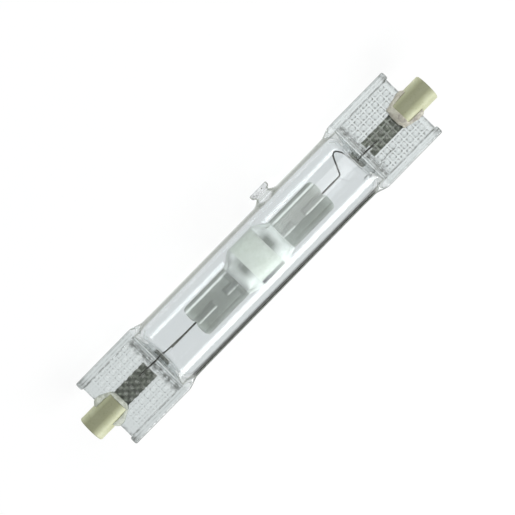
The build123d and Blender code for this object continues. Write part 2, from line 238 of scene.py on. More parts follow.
def padDistances(tree):
    # How far a point is from its pad's middle, along and across, in pad pitches, and how strongly pads show
    cell = addNode(tree, "ShaderNodeAttribute", attribute_name="padGrid").outputs["Vector"]
    cell = addNode(tree, "ShaderNodeSeparateXYZ", {"Vector": cell})
    near = []
    for axis in "XY":
        near.append(addNode(tree, "ShaderNodeMath", {0: cell.outputs[axis], 1: 0.5}, operation="PINGPONG"))
    return near, cell.outputs["Z"]


# Painted shade lines round the pads, in pad pitches, broken by noise whose size is in mm
padLines = {
    "half": 0.03,
    "soft": 0.035,
    "cornerFrom": 0.05,
    "cornerTo": 0.24,
    "alongSide": 0.2,
    "breakSize": 1.3,
    "breakFrom": 0.4,
    "breakTo": 0.56,
    "faintest": 0.12,
    "colour": "#34372F",
}


def pressedLines(tree, place):
    # Painted shade along the jaws' edges and the pads' outlines, stronger at the corners and broken along
    # their length
    near, strength = padDistances(tree)
    border = addNode(tree, "ShaderNodeMath", {0: near[0], 1: near[1]}, operation="MAXIMUM")
    border = mask(tree, border, padLines["half"], padLines["soft"], pads["half"] / pads["pitch"])
    corner = addNode(tree, "ShaderNodeMath", {0: near[0], 1: near[1]}, operation="MINIMUM")
    corner = addNode(tree, "ShaderNodeMapRange", {
        "Value": corner, "From Min": padLines["cornerFrom"], "From Max": padLines["cornerTo"],
        "To Min": padLines["alongSide"]})
    outline = product(tree, border, corner, strength)
    pressed = addNode(tree, "ShaderNodeAttribute", attribute_name="pressEdge").outputs["Fac"]
    lines = addNode(tree, "ShaderNodeMath", {0: outline, 1: pressed}, operation="MAXIMUM")
    worn = addNode(tree, "ShaderNodeTexNoise", {
        "Vector": place, "Scale": 1 / (padLines["breakSize"] * mm), "Detail": 2.0})
    broken = addNode(tree, "ShaderNodeMapRange", {
        "Value": worn, "From Min": padLines["breakFrom"], "From Max": padLines["breakTo"],
        "To Min": padLines["faintest"]})
    return product(tree, lines, broken)


# A hairline crack that wanders along the left pinch, and small black spots in the stub, in mm
flaw = {
    "crackX": -43.0,
    "crackHalfLength": 5.6,
    "crackFade": 0.8,
    "crackSlope": -0.0625,
    "crackOffset": -8.5,
    "crackWander": 2.0,
    "crackWanderSize": 2.6,
    "crackHalf": 0.05,
    "crackSoft": 0.06,
    "spotSpacing": 1.0,
    "spotRadius": 0.2,
    "stubFrom": -12.0,
}


def flaws(tree, place, spot):
    wander = addNode(tree, "ShaderNodeTexNoise", {
        "Vector": place, "Scale": 1 / (flaw["crackWanderSize"] * mm), "Detail": 3.0})
    track = addNode(tree, "ShaderNodeMath", {
        0: spot.outputs["X"], 1: flaw["crackSlope"], 2: flaw["crackOffset"] * mm}, operation="MULTIPLY_ADD")
    track = addNode(tree, "ShaderNodeMath", {0: track, 1: spot.outputs["Y"]}, operation="ADD")
    track = addNode(tree, "ShaderNodeMath", {0: wander, 1: flaw["crackWander"] * mm, 2: track},
                    operation="MULTIPLY_ADD")
    onTrack = mask(tree, track, flaw["crackHalf"] * mm, flaw["crackSoft"] * mm, flaw["crackWander"] / 2 * mm)
    onLength = mask(tree, spot.outputs["X"], flaw["crackHalfLength"] * mm, flaw["crackFade"] * mm,
                    flaw["crackX"] * mm)
    crack = product(tree, onTrack, onLength)
    dots = addNode(tree, "ShaderNodeTexVoronoi", {"Vector": place, "Scale": 1 / (flaw["spotSpacing"] * mm)})
    dots = addNode(tree, "ShaderNodeMath", {0: dots, 1: flaw["spotRadius"]}, operation="LESS_THAN")
    onStub = addNode(tree, "ShaderNodeMath", {0: spot.outputs["Y"], 1: flaw["stubFrom"] * mm},
                     operation="LESS_THAN")
    return addNode(tree, "ShaderNodeMath", {0: crack, 1: product(tree, dots, onStub)}, operation="MAXIMUM")


clearGlass = {
    "tube": "#E6E9EA",
    "pinch": "#CDD3D3",
    "pinchFrom": 38.5,
    "pinchTo": 41.0,
    "skinRadius": 10.2,
    # rim: painted shade where the glass is seen edge on, paler again at the very outline
    "rim": ((0.0, "#FFFFFF"), (0.46, "#FFFFFF"), (0.55, "#84877C"), (0.66, "#74776C"), (0.77, "#8A8D82"),
            (0.87, "#E4E6E2"), (1.0, "#F2F3F1")),
    "drawStretch": 0.12,
    "drawSize": 3.8,
}


def clearQuartz():
    # Fused quartz, drawn and fire polished: clear, a little grey, greyer where it is pressed solid, with
    # painted shade just inside its outline where it is seen edge on. Shallow draw lines run along the tube
    material, tree, place = newMaterial("clearFusedQuartz")
    spot = addNode(tree, "ShaderNodeSeparateXYZ", {"Vector": place})
    reach = addNode(tree, "ShaderNodeMath", {0: spot.outputs["X"]}, operation="ABSOLUTE")
    solid = addNode(tree, "ShaderNodeMapRange", {
        "Value": reach, "From Min": clearGlass["pinchFrom"] * mm, "From Max": clearGlass["pinchTo"] * mm})
    tint = addNode(tree, "ShaderNodeMix", {
        "Factor": solid, "A": colour(clearGlass["tube"]), "B": colour(clearGlass["pinch"])}, data_type="RGBA")
    around = addNode(tree, "ShaderNodeMapping", {"Vector": place, "Scale": (0, 1, 1)})
    around = addNode(tree, "ShaderNodeVectorMath", {"Vector": around}, operation="LENGTH").outputs["Value"]
    onSkin = addNode(tree, "ShaderNodeMath", {0: around, 1: clearGlass["skinRadius"] * mm},
                     operation="GREATER_THAN")
    # Painted shade: darker where the glass is seen edge on, by the facing of its surface
    slant = addNode(tree, "ShaderNodeLayerWeight", {"Blend": 0.5}).outputs["Facing"]
    rim = addNode(tree, "ShaderNodeValToRGB", {"Fac": slant}, stops=clearGlass["rim"])
    tint = addNode(tree, "ShaderNodeMix", {"Factor": onSkin, "A": tint, "B": rim},
                   data_type="RGBA", blend_type="MULTIPLY")
    # Painted shade lines along the pressed edges, mixed with the crack and the stub's spots
    lines = addNode(tree, "ShaderNodeMath", {0: pressedLines(tree, place), 1: flaws(tree, place, spot)},
                    operation="MAXIMUM")
    tint = addNode(tree, "ShaderNodeMix", {
        "Factor": lines, "A": tint, "B": colour(padLines["colour"])}, data_type="RGBA")
    drawn = addNode(tree, "ShaderNodeMapping", {
        "Vector": place, "Scale": (clearGlass["drawStretch"], 1, 1)})
    waves = addNode(tree, "ShaderNodeTexNoise", {
        "Vector": drawn, "Scale": 1 / (clearGlass["drawSize"] * mm), "Detail": 2.0})
    relief = addNode(tree, "ShaderNodeBump", {"Strength": 0.12, "Distance": 0.12 * mm, "Height": waves})
    shader = addNode(tree, "ShaderNodeBsdfPrincipled", {
        "Base Color": tint, "Roughness": 0.015, "IOR": 1.458, "Transmission Weight": 1.0, "Normal": relief})
    finishGlass(tree, shader)
    return material


# Marks on the arc tube, with painted highlights and shade: places along (x) or across (y) it in mm. A boss is
# its middle and half length
bladeMarks = {
    "blade": (8.6, 9.6),
    "railHighlightY": -3.85,
    "railShadeY": 5.15,
    "innerBoss": (11.3, 2.1),
    "outerBoss": (21.4, 3.3),
    "bossHighlightY": 1.0,
    "bossShadeY": -0.2,
    # The painted shade stripe along the barrel: where it lies across, along, its half length and its strength
    "shadeStripeY": 5.6,
    "shadeStripeX": (-4.2, 4.2),
    "shadeStripeHalf": 3.9,
    "shadeStripeStrength": (0.35, 0.95),
}


def frostedQuartz():
    # Quartz that was blasted and etched: milky and soft, greyer where the blades were pressed, with painted
    # highlights along one rail and the bosses, painted shade on the blade rims and beside the bosses, and a
    # painted violet grey shade stripe along the barrel, away from the stub
    material, tree, place = newMaterial("frostedFusedQuartz")
    spot = addNode(tree, "ShaderNodeSeparateXYZ", {"Vector": place})
    across = spot.outputs["Y"]
    reach = addNode(tree, "ShaderNodeMath", {0: spot.outputs["X"]}, operation="ABSOLUTE")
    share = addNode(tree, "ShaderNodeMapRange", {"Value": reach, "From Max": arc["reach"] * mm})
    body = addNode(tree, "ShaderNodeValToRGB", {"Fac": share}, stops=[
        (0.0, "#EEF2EC"), (0.17, "#F0F3EE"), (0.3, "#F2F4F2"), (0.37, "#B4B8B3"), (0.65, "#A4A8A2"),
        (0.9, "#9DA19A"), (1.0, "#C4C8C3")])
    bladeFrom, bladeTo = bladeMarks["blade"]
    blade = addNode(tree, "ShaderNodeMapRange", {
        "Value": reach, "From Min": bladeFrom * mm, "From Max": bladeTo * mm})
    aside = addNode(tree, "ShaderNodeMath", {0: across}, operation="ABSOLUTE")
    # Painted highlight along one rail, and painted shade along both blade rims
    railHighlight = product(tree, mask(tree, across, 0.16 * mm, 0.25 * mm, bladeMarks["railHighlightY"] * mm), blade)
    railShade = product(tree, mask(tree, aside, 0.2 * mm, 0.3 * mm, bladeMarks["railShadeY"] * mm), blade, 0.35)
    bosses = [mask(tree, reach, half * mm, 0.3 * mm, middle * mm)
              for middle, half in (bladeMarks["innerBoss"], bladeMarks["outerBoss"])]
    onBoss = addNode(tree, "ShaderNodeMath", {0: bosses[0], 1: bosses[1]}, operation="MAXIMUM")
    # Painted highlight along the bosses, and painted shade beside them on the stub's side
    bossHighlight = mask(tree, across, 0.1 * mm, 0.2 * mm, bladeMarks["bossHighlightY"] * mm)
    bossHighlight = product(tree, bossHighlight, onBoss, 0.9)
    bossShade = mask(tree, across, 0.4 * mm, 0.5 * mm, bladeMarks["bossShadeY"] * mm)
    bossShade = product(tree, bossShade, onBoss, 0.4)
    # Painted shade: a violet grey stripe along the barrel on its +z side, away from the stub
    facing = addNode(tree, "ShaderNodeMath", {0: spot.outputs["Z"], 1: 0.0}, operation="GREATER_THAN")
    (shadeStripeFrom, shadeStripeTo), (faint, strong) = bladeMarks["shadeStripeX"], bladeMarks["shadeStripeStrength"]
    shadeStripe = addNode(tree, "ShaderNodeMapRange", {
        "Value": spot.outputs["X"], "From Min": shadeStripeFrom * mm, "From Max": shadeStripeTo * mm,
        "To Min": faint, "To Max": strong})
    shadeStripe = product(tree, shadeStripe, mask(tree, across, 0.35 * mm, 0.3 * mm, bladeMarks["shadeStripeY"] * mm),
                      mask(tree, reach, bladeMarks["shadeStripeHalf"] * mm, 0.4 * mm), facing)
    for strength, code in ((bossShade, "#7A7E78"), (railHighlight, "#FAFBFA"), (bossHighlight, "#F2F4F2"),
                           (railShade, "#6A6E67"), (shadeStripe, "#4E4758")):
        body = addNode(tree, "ShaderNodeMix", {"Factor": strength, "A": body, "B": colour(code)},
                       data_type="RGBA")
    grain = addNode(tree, "ShaderNodeTexNoise", {"Vector": place, "Scale": 1 / (1.1 * mm), "Detail": 3.0})
    mottled = addNode(tree, "ShaderNodeValToRGB", {"Fac": grain}, stops=[(0.3, "#EDEEEC"), (0.7, "#FFFFFF")])
    body = addNode(tree, "ShaderNodeMix", {"Factor": 1.0, "A": body, "B": mottled},
                   data_type="RGBA", blend_type="MULTIPLY")
    relief = addNode(tree, "ShaderNodeBump", {"Strength": 0.25, "Distance": 0.03 * mm, "Height": grain})
    shader = addNode(tree, "ShaderNodeBsdfPrincipled", {
        "Base Color": body, "Roughness": 0.38, "IOR": 1.458, "Transmission Weight": 0.4, "Normal": relief})
    finishGlass(tree, shader)
    return material


# Painted shade along the middle of each cap, in mm across the lamp
capShade = {"y": -0.7, "half": 1.3, "soft": 2.2, "strength": 0.85, "colour": "#7B7C60"}


def steatite():
    # Steatite, pressed and fired without a glaze: cream, matt, with cloudy patches and fine dust, and with
    # painted olive shade along the middle
    material, tree, place = newMaterial("firedSteatite")
    patches = addNode(tree, "ShaderNodeTexNoise", {"Vector": place, "Scale": 1 / (3.2 * mm), "Detail": 4.0})
    body = addNode(tree, "ShaderNodeValToRGB", {"Fac": patches}, stops=[
        (0.32, "#BABC99"), (0.55, "#C3C5A4"), (0.75, "#CDCFB2")])
    spot = addNode(tree, "ShaderNodeSeparateXYZ", {"Vector": place})
    # Painted shade: a darker olive band along the middle of the cap
    shadeBand = mask(tree, spot.outputs["Y"], capShade["half"] * mm, capShade["soft"] * mm, capShade["y"] * mm)
    shadeBand = product(tree, shadeBand, capShade["strength"])
    body = addNode(tree, "ShaderNodeMix", {
        "Factor": shadeBand, "A": body, "B": colour(capShade["colour"])}, data_type="RGBA")
    specks = addNode(tree, "ShaderNodeTexNoise", {"Vector": place, "Scale": 1 / (0.38 * mm), "Detail": 2.0})
    dust = addNode(tree, "ShaderNodeValToRGB", {"Fac": specks}, stops=[(0.3, "#E9E8E0"), (0.42, "#FFFFFF")])
    body = addNode(tree, "ShaderNodeMix", {"Factor": 1.0, "A": body, "B": dust},
                   data_type="RGBA", blend_type="MULTIPLY")
    relief = addNode(tree, "ShaderNodeBump", {"Strength": 0.3, "Distance": 0.04 * mm, "Height": specks})
    shader = addNode(tree, "ShaderNodeBsdfPrincipled", {
        "Base Color": body, "Roughness": 0.5, "IOR": 1.52, "Normal": relief, "Subsurface Weight": 0.08,
        "Subsurface Radius": (0.6, 0.5, 0.35), "Subsurface Scale": 0.8 * mm})
    addNode(tree, "ShaderNodeOutputMaterial", {"Surface": shader})
    return material


def silicaCement():
    # Silica cement, pressed in wet and baked: dull and uneven, warm grey at the left end, cooler at the right
    material, tree, place = newMaterial("bakedSilicaCement")
    patches = addNode(tree, "ShaderNodeTexNoise", {
        "Vector": place, "Scale": 1 / (1.6 * mm), "Detail": 5.0, "Distortion": 1.2})
    warm = addNode(tree, "ShaderNodeValToRGB", {"Fac": patches}, stops=[
        (0.32, "#98928A"), (0.48, "#B4AFA2"), (0.66, "#C9C6B8")])
    cool = addNode(tree, "ShaderNodeValToRGB", {"Fac": patches}, stops=[
        (0.32, "#999C91"), (0.48, "#B5B8AC"), (0.66, "#CDD0C6")])
    spot = addNode(tree, "ShaderNodeSeparateXYZ", {"Vector": place})
    right = addNode(tree, "ShaderNodeMath", {0: spot.outputs["X"], 1: 0.0}, operation="GREATER_THAN")
    body = addNode(tree, "ShaderNodeMix", {"Factor": right, "A": warm, "B": cool}, data_type="RGBA")
    relief = addNode(tree, "ShaderNodeBump", {"Strength": 0.5, "Distance": 0.12 * mm, "Height": patches})
    shader = addNode(tree, "ShaderNodeBsdfPrincipled", {
        "Base Color": body, "Roughness": 0.6, "IOR": 1.5, "Normal": relief, "Subsurface Weight": 0.15,
        "Subsurface Radius": (0.8, 0.8, 0.7), "Subsurface Scale": 0.6 * mm})
    addNode(tree, "ShaderNodeOutputMaterial", {"Surface": shader})
    return material


def metal(name, low, high, roughness, grain, stretch=(1, 1, 1)):
    # grain is the size in mm of the streaks or spots that the making left
    material, tree, place = newMaterial(name)
    place = addNode(tree, "ShaderNodeMapping", {"Vector": place, "Scale": stretch})
    streaks = addNode(tree, "ShaderNodeTexNoise", {"Vector": place, "Scale": 1 / (grain * mm), "Detail": 4.0})
    body = addNode(tree, "ShaderNodeValToRGB", {"Fac": streaks}, stops=[(0.3, low), (0.7, high)])
    relief = addNode(tree, "ShaderNodeBump", {"Strength": 0.4, "Distance": 0.01 * mm, "Height": streaks})
    shader = addNode(tree, "ShaderNodeBsdfPrincipled", {
        "Base Color": body, "Metallic": 1.0, "Roughness": roughness, "Normal": relief})
    addNode(tree, "ShaderNodeOutputMaterial", {"Surface": shader})
    return material


def etchedFoil():
    # Molybdenum foil, etched and embossed by the jaws: dark warm grey squares with paler creases between them
    material, tree, place = newMaterial("etchedMolybdenumFoil")
    grain = addNode(tree, "ShaderNodeTexNoise", {"Vector": place, "Scale": 1 / (0.9 * mm), "Detail": 4.0})
    body = addNode(tree, "ShaderNodeValToRGB", {"Fac": grain}, stops=[(0.3, "#4A4D44"), (0.7, "#70736A")])
    near, strength = padDistances(tree)
    border = addNode(tree, "ShaderNodeMath", {0: near[0], 1: near[1]}, operation="MAXIMUM")
    crease = product(tree, mask(tree, border, 0.06, 0.06, 0.5), strength)
    body = addNode(tree, "ShaderNodeMix", {"Factor": crease, "A": body, "B": colour("#7C8076")},
                   data_type="RGBA")
    relief = addNode(tree, "ShaderNodeBump", {"Strength": 0.4, "Distance": 0.02 * mm, "Height": grain})
    shader = addNode(tree, "ShaderNodeBsdfPrincipled", {
        "Base Color": body, "Metallic": 1.0, "Roughness": 0.42, "Normal": relief})
    addNode(tree, "ShaderNodeOutputMaterial", {"Surface": shader})
    return material


# Where painted shade lies on the coat beside the barrel, in mm: its middle, its half width and its soft edge
coatShade = {"along": (5.0, 0.5, 2.2), "across": (-1.2, 1.2, 3.2), "colour": "#858983"}


def whiteCoat():
    # Zirconia coat, brushed on and fired: chalk white, with painted grey shade beside the barrel on the
    # stub's side
    material, tree, place = newMaterial("firedZirconiaCoat")
    patches = addNode(tree, "ShaderNodeTexNoise", {"Vector": place, "Scale": 1 / (2.8 * mm), "Detail": 4.0})
    body = addNode(tree, "ShaderNodeValToRGB", {"Fac": patches}, stops=[(0.3, "#D4D8D4"), (0.55, "#E8EBE8")])
    spot = addNode(tree, "ShaderNodeSeparateXYZ", {"Vector": place})
    reach = addNode(tree, "ShaderNodeMath", {0: spot.outputs["X"]}, operation="ABSOLUTE")
    # Painted shade: patchy grey beside the barrel on the stub's side
    shadePatch = addNode(tree, "ShaderNodeMapRange", {
        "Value": patches, "From Min": 0.3, "From Max": 0.5, "To Min": 0.5})
    for value, (middle, half, soft) in ((reach, coatShade["along"]), (spot.outputs["Y"], coatShade["across"])):
        shadePatch = product(tree, shadePatch, mask(tree, value, half * mm, soft * mm, middle * mm))
    body = addNode(tree, "ShaderNodeMix", {
        "Factor": shadePatch, "A": body, "B": colour(coatShade["colour"])}, data_type="RGBA")
    relief = addNode(tree, "ShaderNodeBump", {"Strength": 0.3, "Distance": 0.05 * mm, "Height": patches})
    shader = addNode(tree, "ShaderNodeBsdfPrincipled", {
        "Base Color": body, "Roughness": 0.7, "IOR": 1.5, "Normal": relief})
    addNode(tree, "ShaderNodeOutputMaterial", {"Surface": shader})
    return material


def halideSalt():
    # Metal halide salt, melted and set again: pale amber crystals
    material, tree, place = newMaterial("frozenHalideSalt")
    crystals = addNode(tree, "ShaderNodeTexVoronoi", {"Vector": place, "Scale": 1 / (0.3 * mm)})
    body = addNode(tree, "ShaderNodeValToRGB", {"Fac": crystals}, stops=[(0.1, "#D9CFA8"), (0.6, "#B59F6A")])
    shader = addNode(tree, "ShaderNodeBsdfPrincipled", {"Base Color": body, "Roughness": 0.35, "IOR": 1.7})
    addNode(tree, "ShaderNodeOutputMaterial", {"Surface": shader})
    return material


# Pressed quartz tubes: a round skin that is pressed flat at both ends into a plate between two rails

def sideHeight(form, reach):
    top = form["radius"] + form["blend"]
    if reach <= form["straightHalf"]:
        return top
    along = min((reach - form["straightHalf"]) / form["shoulder"], 1.0)
    return form["railHalf"] + (top - form["railHalf"]) * math.sqrt(1 - along * along)


def railOutline(form, low, inset, count):
    # From the plate's edge up the rail's inner wall, round its outside and down to the plate below
    inner = form["halfWidth"] - form["railWidth"] + inset
    outer, top = form["halfWidth"] - inset, form["railHalf"] - inset
    small = max(min(form["innerCorner"], top - low), 0.001)
    big = max(form["railCorner"] - inset, 0.1)
    half = [(inner, low)]
    for k in range(7):
        turn = math.pi - math.pi / 2 * k / 6
        half.append((inner + small + small * math.cos(turn), top - small + small * math.sin(turn)))
    for k in range(9):
        turn = math.pi / 2 * (1 - k / 8)
        half.append((outer - big + big * math.cos(turn), top - big + big * math.sin(turn)))
    path = half + [(y, -z) for y, z in reversed(half)]
    lengths = [0.0]
    for (y0, z0), (y1, z1) in zip(path, path[1:]):
        lengths.append(lengths[-1] + math.hypot(y1 - y0, z1 - z0))
    points, leg = [], 0
    for k in range(1, count + 1):
        target = lengths[-1] * k / (count + 1)
        while lengths[leg + 1] < target:
            leg += 1
        share = (target - lengths[leg]) / (lengths[leg + 1] - lengths[leg])
        (y0, z0), (y1, z1) = path[leg], path[leg + 1]
        points.append((y0 + (y1 - y0) * share, z0 + (z1 - z0) * share))
    return points


def skinLoop(form, x, plateYs, plateHeight, offset=0.0, inset=0.0):
    # One closed section as (y, z) pairs: the upper plate, the +y rail, the lower plate and the -y rail
    reach = abs(x)
    start = form["straightHalf"] + form["shoulder"]
    inner = form["halfWidth"] - form["railWidth"]
    radius = form["radius"] + offset
    limit = sideHeight(form, reach) + offset
    pressed = ease(reach, start - form["flare"], start)
    shift = form["shift"] * (1 - pressed)
    steps = form["railSteps"]

    def top(y):
        if reach >= start:
            return plateHeight(x, y) + offset - inset * 0.5
        return softMin(math.sqrt(max(radius * radius - y * y, 0.0)), limit, form["blend"])

    upper = [(y, top(y)) for y in plateYs]
    rail = railOutline(form, upper[-1][1], inset - offset, steps)
    widest = math.acos(inner / radius)
    side = []
    for k, (yRail, zRail) in enumerate(rail, 1):
        turn = widest * (1 - 2 * k / (steps + 1))
        yArc, zArc = radius * math.cos(turn), radius * math.sin(turn)
        zArc = math.copysign(softMin(abs(zArc), limit, form["blend"]), zArc)
        side.append((yArc + (yRail - yArc) * pressed, zArc + (zRail - zArc) * pressed))
    loop = upper + side + [(y, -z) for y, z in reversed(upper)] + [(-y, -z) for y, z in side]
    return [(y + shift, z) for y, z in loop]


def skinMesh(name, form, stations, plateYs, plateHeight, endReach, railEnd, dent=None, offset=0.0):
    # stations gives each end's places along the axis; the last few loops round off the end
    loops = []
    for end in ("left", "right"):
        side = ends[end]
        body = []
        for reach in stations[end]:
            pairs = skinLoop(form, side * reach, plateYs, plateHeight, offset)
            body.append([(side * reach, y, z) for y, z in pairs])
        for k in range(5):
            turn = math.pi / 2 * k / 4
            inset = form["edge"] * (1 - math.cos(turn))
            pairs = skinLoop(form, side * (stations[end][-1] + 0.001), plateYs, plateHeight, offset, inset)
            loop = []
            for spot, (y, z) in enumerate(pairs):
                lane = spot % (len(plateYs) + form["railSteps"])
                last = endReach(y) if lane < len(plateYs) else railEnd(y)
                loop.append((side * (last - form["edge"] * (1 - math.sin(turn))), y, z))
            body.append(loop)
        loops.append(list(reversed(body)) if side < 0 else body)
    rows = loops[0] + loops[1][1:]
    if dent:
        rows = [[dent(*point) for point in row] for row in rows]
    size = len(rows[0])
    points = [lampPoint(*point) for row in rows for point in row]
    faces = []
    for row in range(len(rows) - 1):
        for k in range(size):
            here, after = row * size, (row + 1) * size
            faces.append((here + k, here + (k + 1) % size, after + (k + 1) % size, after + k))
    plates, steps = len(plateYs), form["railSteps"]
    for base in (0, (len(rows) - 1) * size):
        for k in range(plates - 1):
            below = plates + steps + plates - 1 - k
            faces.append((base + k, base + k + 1, base + below - 1, base + below))
        faces.append([base + k for k in range(plates - 1, plates + steps + 1)])
        faces.append([base + k % size for k in range(2 * plates + steps - 1, size + 1)])
    return closedMesh(name, points, faces)


def cavityMesh(name, form, count=128, steps=18):
    # The hollow inside: round, then closing to a low slot between the pressed walls
    radius = form["radius"] - form["wall"]
    close = form["shoulder"] - form["shoulderWall"]
    reaches = [form["straightHalf"] * k / 6 for k in range(7)]
    reaches += [form["straightHalf"] + close * math.sin(math.pi / 2 * k / steps) for k in range(1, steps + 1)]
    rows = []
    for reach in [-r for r in reversed(reaches)] + reaches[1:]:
        along = max((abs(reach) - form["straightHalf"]) / close, 0.0)
        limit = form["lip"] + (radius + form["blend"] - form["lip"]) * math.sqrt(max(1 - along * along, 0.0))
        width = radius - form["narrowing"] * along ** 3
        row = []
        for k in range(count):
            turn = 2 * math.pi * k / count
            z = radius * math.sin(turn)
            z = math.copysign(softMin(abs(z), limit, min(form["blend"], 2 * limit)), z)
            row.append(lampPoint(reach, width * math.cos(turn) + form["shift"], z))
        rows.append(row)
    points = [point for row in rows for point in row]
    faces = []
    for row in range(len(rows) - 1):
        for k in range(count):
            here, after = row * count, (row + 1) * count
            faces.append((here + k, here + (k + 1) % count, after + (k + 1) % count, after + k))
    faces.append(list(range(count)))
    faces.append([(len(rows) - 1) * count + k for k in range(count)])
    return closedMesh(name, points, faces, inwards=True)


# Outer bulb: one skin with the pressed ends and the exhaust stub, and the hollow inside it

bulb = {
    "radius": 10.85,
    "shift": 0.0,
    "straightHalf": 36.0,
    "shoulder": 4.4,
    "flare": 4.9,
    "blend": 0.8,
    "halfWidth": 12.0,
    "railWidth": 2.4,
    "railHalf": 2.2,
    "railCorner": 1.1,
    "innerCorner": 0.35,
    "plateHalf": 1.3,
    "edge": 0.5,
    "railSteps": 44,
    "wall": 1.3,
    "shoulderWall": 1.0,
    "lip": 0.25,
    "narrowing": 1.3,
    "ribWidth": 0.7,
    "ribSetback": 0.6,
    "ribHeight": 0.45,
    "slope": 0.12,
    "plateEnd": 60.9,
    "endMargin": 1.1,
    "railEnd": 61.5,
    "tongueHalf": 3.2,
    "tongueEnd": 63.3,
}
pads = {
    "pitch": 2.3,
    "half": 0.7,
    "slope": 0.1,
    "rows": 9,
    "columns": {"left": 7, "right": 6},
    "centre": {"left": 51.3, "right": 50.6},
    "height": {"left": 0.18, "right": 0.12},
    "uneven": 0.25,
    "railRowShare": 0.5,
    "outline": {"left": 1.0, "right": 0.5},
}
stub = {
    "x": -13.5,
    "footRadius": 5.0,
    "footHeight": 1.1,
    "root": -0.9,
    "profile": ((2.35, 0.9), (2.45, 1.3), (2.75, 1.55), (3.12, 1.8), (3.28, 2.1), (3.28, 2.85),
                (3.1, 3.08), (2.7, 3.06), (2.2, 2.9), (1.2, 2.62)),
    "dimple": 2.52,
    "wobble": 0.1,
    "wobbleFrom": 1.0,
    "sinkShare": 0.9,
    "sinkFrom": 1.2,
    "wobbleTo": 2.6,
    "steps": 72,
}
pinchStart = bulb["straightHalf"] + bulb["shoulder"]
ribMiddle = pinchStart + bulb["ribWidth"] * 1.5 + bulb["ribSetback"]
pocketHalf = bulb["halfWidth"] - bulb["railWidth"]


def bulbPlate(x, y):
    reach, end = abs(x), "left" if x < 0 else "right"
    slope = bulb["slope"]
    height = bulb["plateHalf"]
    height += (bulb["railHalf"] - bulb["plateHalf"]) * plateau(reach - pinchStart, bulb["ribWidth"], slope)
    height += bulb["ribHeight"] * plateau(reach - ribMiddle, bulb["ribWidth"] / 2, slope / 2)
    raised, cell = 1.0, [len(end)]
    for place, centre, count in ((reach, pads["centre"][end], pads["columns"][end]), (y, 0.0, pads["rows"])):
        spot = round((place - centre) / pads["pitch"] + (count - 1) / 2)
        spot = min(max(spot, 0), count - 1)
        nearest = centre + (spot - (count - 1) / 2) * pads["pitch"]
        raised *= plateau(place - nearest, pads["half"], pads["slope"])
        cell.append(spot)
    if cell[2] in (0, pads["rows"] - 1):
        raised *= pads["railRowShare"]
    return height + pads["height"][end] * raised * (1 + pads["uneven"] * noise.cell(Vector(cell)))


def bulbStations(end):
    # Where the skin's sections lie: closer together where the shape changes
    spots = [4.0 * k for k in range(9)]
    spots += [bulb["straightHalf"] + bulb["shoulder"] * math.sin(math.pi / 2 * k / 16) for k in range(17)]
    if end == "left":
        spots += [abs(stub["x"]) + 0.35 * k for k in range(-17, 18)]
    wide, steep = bulb["ribWidth"], bulb["slope"] / 2
    for middle, half, slope in ((pinchStart, wide, bulb["slope"]), (ribMiddle, wide / 2, steep)):
        spots += [middle + half - slope, middle + half + slope]
    spots += [ribMiddle - wide / 2 - steep, ribMiddle - wide / 2 + steep]
    for k in range(pads["columns"][end]):
        middle = pads["centre"][end] + (k - (pads["columns"][end] - 1) / 2) * pads["pitch"]
        for step in (-1, 1):
            spots += [middle + step * (pads["half"] + fine * pads["slope"]) for fine in (-1, 1)]
        spots += [middle, middle + pads["pitch"] / 2]
    last = bulb["plateEnd"] - bulb["endMargin"]
    spots = sorted(spots) + [last]
    kept = [spots[0]]
    for spot in spots[1:]:
        if spot - kept[-1] > 0.02 and spot <= last:
            kept.append(spot)
    return kept


def bulbPlateYs():
    half = [0.0, pads["pitch"] / 2, bulb["tongueHalf"] - 0.04, bulb["tongueHalf"] + 0.04, pocketHalf]
    for row in range(5):
        middle = row * pads["pitch"]
        half += [middle + step * pads["half"] + fine * pads["slope"] for step in (-1, 1) for fine in (-1, 1)]
        half += [middle, middle + pads["pitch"] / 2]
    half = sorted(set(round(y, 4) for y in half if 0 <= y <= pocketHalf))
    half = [y for k, y in enumerate(half) if k == 0 or y - half[k - 1] > 0.03 or y == pocketHalf]
    return [-y for y in reversed(half[1:])] + half


def bulbEnd(y):
    return bulb["tongueEnd"] if abs(y) < bulb["tongueHalf"] else bulb["plateEnd"]


def stubFoot(x, y, z):
    # The tube's wall swells out in a concave foot under the exhaust stub
    away = math.hypot(x - stub["x"], z)
    if y > 0 or away > stub["footRadius"]:
        return x, y, z
    share = min((stub["footRadius"] - away) / (stub["footRadius"] - stub["profile"][0][0]), 1.0)
    return x, y - stub["footHeight"] * share * share, z


def stubMesh():
    rim = [(radius, height) for radius, height in stub["profile"]]
    profile = [(rim[0][0], stub["root"])] + rim
    points = []
    for k in range(stub["steps"]):
        turn = 2 * math.pi * k / stub["steps"]
        for radius, height in profile:
            wobble = noise.noise(Vector((2 * math.cos(turn), 2 * math.sin(turn), height * 0.7)))
            wobble = min(stub["wobble"] * wobble, 0.0)
            loose = radius + wobble * ease(height, stub["wobbleFrom"], stub["wobbleTo"])
            sunk = height + stub["sinkShare"] * wobble * ease(height, stub["sinkFrom"], stub["wobbleTo"])
            points.append(lampPoint(stub["x"] + loose * math.cos(turn), -(bulb["radius"] + sunk),
                                    loose * math.sin(turn)))
    size, faces = len(profile), []
    for k in range(stub["steps"]):
        here, after = k * size, (k + 1) % stub["steps"] * size
        for j in range(size - 1):
            faces.append((here + j, here + j + 1, after + j + 1, after + j))
    middle = len(points)
    points.append(lampPoint(stub["x"], -(bulb["radius"] + stub["dimple"]), 0))
    points.append(lampPoint(stub["x"], -(bulb["radius"] + stub["root"]), 0))
    for k in range(stub["steps"]):
        here, after = k * size, (k + 1) % stub["steps"] * size
        faces.append((here + size - 1, middle, after + size - 1))
        faces.append((after, middle + 1, here))
    return closedMesh("stubForm", points, faces)


